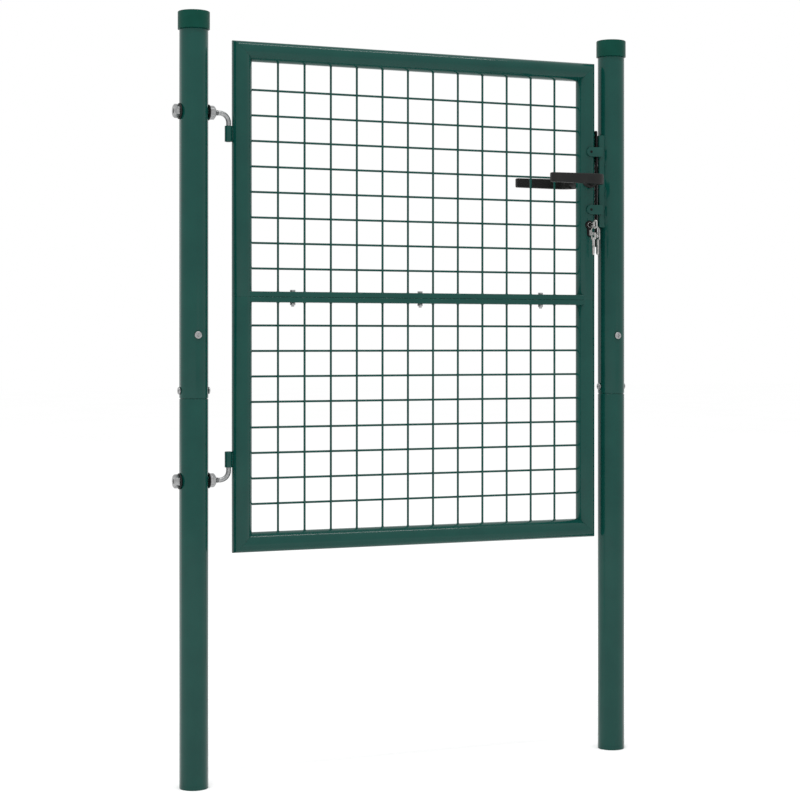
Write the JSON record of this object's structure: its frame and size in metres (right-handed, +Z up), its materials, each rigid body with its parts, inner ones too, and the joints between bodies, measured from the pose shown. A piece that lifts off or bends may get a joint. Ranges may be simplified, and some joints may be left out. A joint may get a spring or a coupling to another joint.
{
  "type": "garden gate",
  "caption": "Single-leaf garden gate in round tube with welded wire mesh, two round posts, hook hinges, and a cylinder lock with lever handles and keys.",
  "frame": {"origin": "hinge post's axis at its foot", "axes": "+Z up, +X from the hinge post to the latch post, +Y towards the side that the leaf opens to"},
  "size_m": [0.9937, 0.17, 1.5],
  "materials": {
    "green_powder_coat": "smooth semi-gloss polyester powder coat",
    "green_plastic": "moulded, satin",
    "zinc_plate": "bright zinc plate",
    "black_powder_coat": "fine-textured black powder coat",
    "black_plastic": "moulded polyamide, fine texture",
    "nickel_plate": "nickel plate, polished",
    "black_rubber": "moulded"
  },
  "bodies": {
    "posts": {"hinge_post_lower": "green_powder_coat", "hinge_post_upper": "green_powder_coat", "hinge_post_coupler": "green_powder_coat", "hinge_post_cap": "green_plastic", "latch_post_lower": "green_powder_coat", "latch_post_upper": "green_powder_coat", "latch_post_coupler": "green_powder_coat", "latch_post_cap": "green_plastic", "post_joint_screws": "zinc_plate", "post_screw_washers": "black_plastic", "top_hinge_hook": "zinc_plate", "bottom_hinge_hook": "zinc_plate", "hinge_outer_nuts": "zinc_plate", "hinge_inner_nuts": "zinc_plate", "hinge_spacers": "black_plastic", "keeper_channel": "green_powder_coat", "upper_stop_lug": "green_powder_coat", "lower_stop_lug": "green_powder_coat", "stop_buffers": "black_rubber"},
    "leaf": {"top_rail": "green_powder_coat", "bottom_rail": "green_powder_coat", "hinge_stile_upper": "green_powder_coat", "hinge_stile_lower": "green_powder_coat", "latch_stile_upper": "green_powder_coat", "latch_stile_lower": "green_powder_coat", "upper_mid_rail": "green_powder_coat", "lower_mid_rail": "green_powder_coat", "upper_upright_wires": "green_powder_coat", "lower_upright_wires": "green_powder_coat", "upper_cross_wires": "green_powder_coat", "lower_cross_wires": "green_powder_coat", "top_hinge_sleeve": "green_powder_coat", "bottom_hinge_sleeve": "green_powder_coat", "mid_rail_bolts": "zinc_plate", "mid_rail_nuts": "zinc_plate", "lock_case": "zinc_plate", "lock_cover": "zinc_plate", "lock_forend": "black_powder_coat", "forend_screws": "zinc_plate", "cylinder_body": "black_powder_coat", "back_plug": "black_powder_coat", "cylinder_screw": "zinc_plate", "front_rosette": "black_plastic", "back_rosette": "black_plastic"},
    "handle": {"front_lever": "black_plastic", "back_lever": "black_plastic", "lever_spindle": "zinc_plate", "latch_follower": "zinc_plate", "lever_grub_screws": "zinc_plate"},
    "latch": {"latch_bolt": "zinc_plate"},
    "key_and_cam": {"key": "nickel_plate", "front_plug": "black_powder_coat", "cylinder_cam": "zinc_plate"},
    "bolt": {"deadbolt": "zinc_plate"},
    "ring": {"key_ring": "nickel_plate"},
    "spare_left": {"spare_key_left": "nickel_plate"},
    "spare_right": {"spare_key_right": "nickel_plate"}
  },
  "joints": [
    {"name": "gate_swing", "type": "hinge", "parent": "posts", "child": "leaf", "pos_m": [0.0702, 0, 0], "axis": [0, 0, 1], "range_deg": [0, 110]},
    {"name": "lever_turn", "type": "hinge", "parent": "leaf", "child": "handle", "pos_m": [0.8589, 0, 1.1995], "axis": [0, -1, 0], "range_deg": [0, 40], "stiffness_Nm_per_rad": 1, "springref_deg": -22.92},
    {"name": "latch_slide", "type": "slide", "parent": "leaf", "child": "latch", "axis": [-1, 0, 0], "range_m": [0, 0.008]},
    {"name": "key_turn", "type": "hinge", "parent": "leaf", "child": "key_and_cam", "pos_m": [0.8589, 0, 1.1075], "axis": [0, 1, 0], "range_deg": [0, 360]},
    {"name": "deadbolt_throw", "type": "slide", "parent": "leaf", "child": "bolt", "axis": [1, 0, 0], "range_m": [0, 0.011]},
    {"name": "ring_swing", "type": "hinge", "parent": "key_and_cam", "child": "ring", "pos_m": [0.8589, -0.045, 1.1032], "axis": [1, 0, 0], "range_deg": [-25, 10]},
    {"name": "left_key_swing", "type": "hinge", "parent": "ring", "child": "spare_left", "pos_m": [0.8541, -0.045, 1.0853], "axis": [1, 0, 0], "range_deg": [-20, 5]},
    {"name": "right_key_swing", "type": "hinge", "parent": "ring", "child": "spare_right", "pos_m": [0.8637, -0.045, 1.0853], "axis": [1, 0, 0], "range_deg": [-20, 5]}
  ],
  "couplings": [
    {"joint": "latch_slide", "follows": "lever_turn", "m_per_rad": 0.011459},
    {"joint": "deadbolt_throw", "follows": "key_turn", "m_per_rad": 0.0017507}
  ]
}
